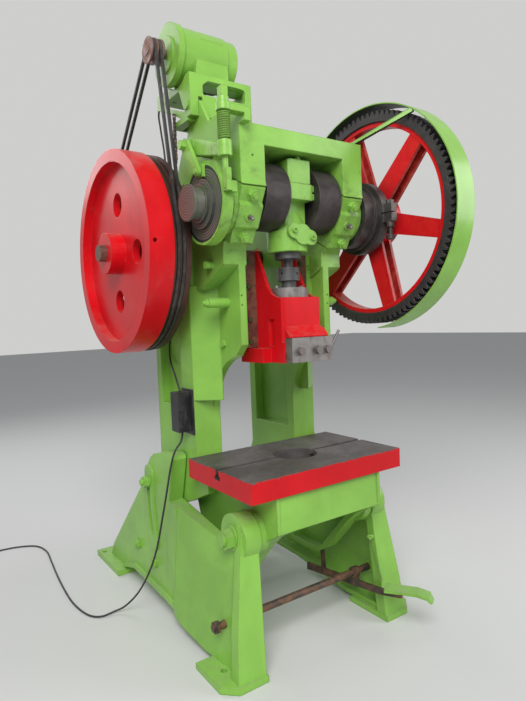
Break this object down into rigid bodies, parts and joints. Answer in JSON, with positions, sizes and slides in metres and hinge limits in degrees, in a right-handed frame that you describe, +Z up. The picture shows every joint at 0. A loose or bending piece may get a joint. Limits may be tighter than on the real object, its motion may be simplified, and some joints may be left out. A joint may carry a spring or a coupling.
{
  "type": "mechanical stamping press",
  "caption": "Inclinable open-front stamping press with flywheel, guarded bull gear, crank and connecting rod, ram, bolster plate, top-mounted motor and foot treadle.",
  "frame": {"origin": "on the floor, at the centre of the four foot-bolt holes", "axes": "+X is to the right as seen from the front, with the flywheel at -X; +Y is to the rear, and the die opening faces -Y; +Z is up"},
  "size_m": [1.8375, 2.386, 2.667],
  "materials": {
    "lime_paint": "thick gloss lime green machine enamel over castings, chipped and dusty",
    "red_paint": "gloss signal red enamel, worn at the edges",
    "greasy_steel": "dark machined steel under old grease",
    "rusty_steel": "brown rusty bare steel",
    "bare_steel": "dull bare steel, scratched",
    "bronze": "machined bearing bronze",
    "rubber": "black rubber",
    "black_plastic": "black moulded housing, dusty",
    "dark_iron": "dark dirty iron"
  },
  "bodies": {
    "stand": {"left_leg": "lime_paint", "right_leg": "lime_paint", "rear_tie_rods": "lime_paint", "treadle_rod": "rusty_steel", "pivot_bolts": "lime_paint", "supply_cord": "rubber", "supply_coil": "rubber", "pedal_spring": "lime_paint"},
    "frame": {"frame_casting": "lime_paint", "bolster_plate": "red_paint", "bearing_cap_left": "lime_paint", "bearing_cap_right": "lime_paint", "cap_studs": "lime_paint", "bearing_bushes": "bronze", "gib_left": "rusty_steel", "gib_right": "rusty_steel", "gib_screws": "lime_paint", "slot_bolts": "lime_paint", "grease_fittings": "bare_steel", "brake_strap": "lime_paint", "brake_lining": "rubber", "brake_lever": "lime_paint", "brake_link": "lime_paint", "brake_spring": "lime_paint", "brake_bolt": "lime_paint", "motor_platform": "lime_paint", "hinge_rod": "lime_paint", "jack_screws": "rusty_steel", "motor_body": "lime_paint", "motor_end_shields": "lime_paint", "terminal_box": "lime_paint", "gear_guard": "lime_paint", "guard_stay": "lime_paint", "shaft_bearings": "bronze", "v_belts": "rubber", "switch_box": "black_plastic", "hanging_chain": "dark_iron", "motor_lead": "rubber"},
    "bull_gear": {"bull_gear": "red_paint", "gear_bush": "bronze"},
    "back_shaft": {"flywheel": "red_paint", "back_shaft": "bare_steel", "pinion": "greasy_steel"},
    "motor_rotor": {"motor_pulley": "rusty_steel"},
    "crankshaft": {"crankshaft": "greasy_steel", "brake_drum": "greasy_steel", "clutch_body": "greasy_steel", "clutch_collar": "greasy_steel"},
    "conrod": {"conrod": "lime_paint", "conrod_cap": "lime_paint", "conrod_cover": "lime_paint", "ball_screw": "greasy_steel", "lock_collar": "greasy_steel"},
    "ram": {"ram": "red_paint", "ball_cap": "bare_steel", "shank_clamp": "bare_steel", "clamp_bolts": "rusty_steel"},
    "treadle": {"treadle_bar": "rusty_steel", "foot_pedal": "lime_paint"},
    "trip_rod": {"trip_rod": "rusty_steel"}
  },
  "joints": [
    {"name": "frame_tilt", "type": "hinge", "parent": "stand", "child": "frame", "pos_m": [0, -0.704, 0.54], "axis": [-1, 0, 0], "range_deg": [0, 11], "deforming": ["supply_cord"]},
    {"name": "bull_gear_turn", "type": "hinge", "parent": "frame", "child": "bull_gear", "pos_m": [0.533, -0.63, 1.858], "axis": [1, 0, 0], "continuous": true},
    {"name": "back_shaft_turn", "type": "hinge", "parent": "frame", "child": "back_shaft", "pos_m": [0, -0.08602, 1.725], "axis": [1, 0, 0], "continuous": true},
    {"name": "motor_turn", "type": "hinge", "parent": "frame", "child": "motor_rotor", "pos_m": [-0.3, -0.355, 2.541], "axis": [1, 0, 0], "continuous": true},
    {"name": "crank_turn", "type": "hinge", "parent": "frame", "child": "crankshaft", "pos_m": [0, -0.63, 1.858], "axis": [-1, 0, 0], "range_deg": [0, 180]},
    {"name": "conrod_swing", "type": "hinge", "parent": "crankshaft", "child": "conrod", "pos_m": [0, -0.63, 1.958], "axis": [-1, 0, 0], "range_deg": [-180, 0]},
    {"name": "ram_slide", "type": "slide", "parent": "frame", "child": "ram", "axis": [0, 0, 1], "range_m": [-0.2, 0]},
    {"name": "treadle_press", "type": "hinge", "parent": "stand", "child": "treadle", "pos_m": [0.3, -0.671, 0.185], "axis": [1, 0, 0], "range_deg": [0, 8], "stiffness_Nm_per_rad": 40, "springref_deg": -28.65},
    {"name": "trip_rod_swing", "type": "hinge", "parent": "treadle", "child": "trip_rod", "pos_m": [0.3, -0.433, 0.105], "axis": [1, 0, 0], "range_deg": [-8, 0]}
  ],
  "couplings": [
    {"joint": "back_shaft_turn", "follows": "bull_gear_turn", "ratio": -7},
    {"joint": "motor_turn", "follows": "bull_gear_turn", "ratio": -68.538},
    {"joint": "conrod_swing", "follows": "crank_turn", "ratio": -1},
    {"joint": "ram_slide", "follows": "crank_turn", "m_per_rad": -0.063662},
    {"joint": "trip_rod_swing", "follows": "treadle_press", "ratio": -1}
  ]
}
